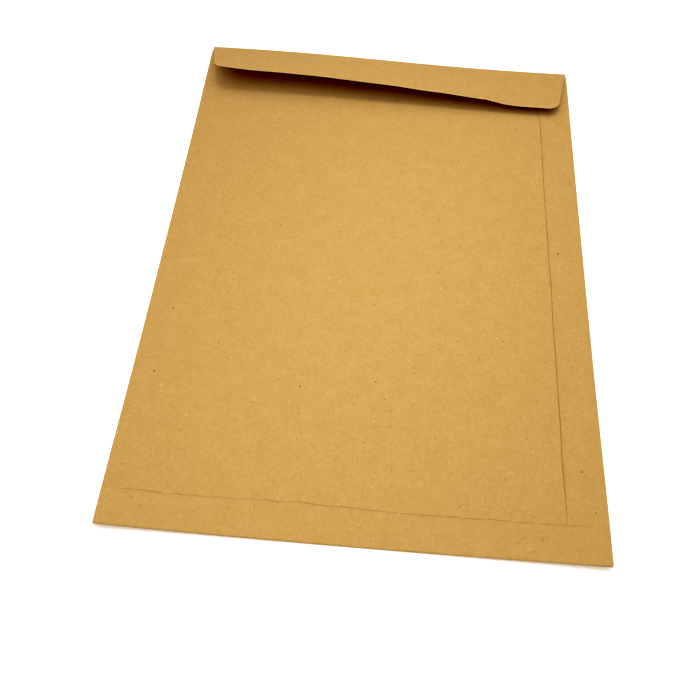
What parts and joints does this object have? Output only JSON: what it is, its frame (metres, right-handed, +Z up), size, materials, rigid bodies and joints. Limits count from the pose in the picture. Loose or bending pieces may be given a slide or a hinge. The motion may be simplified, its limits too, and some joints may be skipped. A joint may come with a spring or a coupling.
{
  "type": "paper envelope",
  "caption": "Flat C4 pocket envelope folded from one sheet of brown kraft paper, with a long side seam, a glued bottom flap and an open top flap.",
  "frame": {"origin": "bottom centre of the bounding box, on the surface that the front panel lies on", "axes": "+X across the envelope towards the side seam, +Y from the bottom fold to the top fold, +Z up, out of the seam side"},
  "size_m": [0.229, 0.324, 0.0151],
  "materials": {
    "kraft_paper": "matte"
  },
  "bodies": {
    "root": {"envelope": "kraft_paper"}
  },
  "joints": []
}
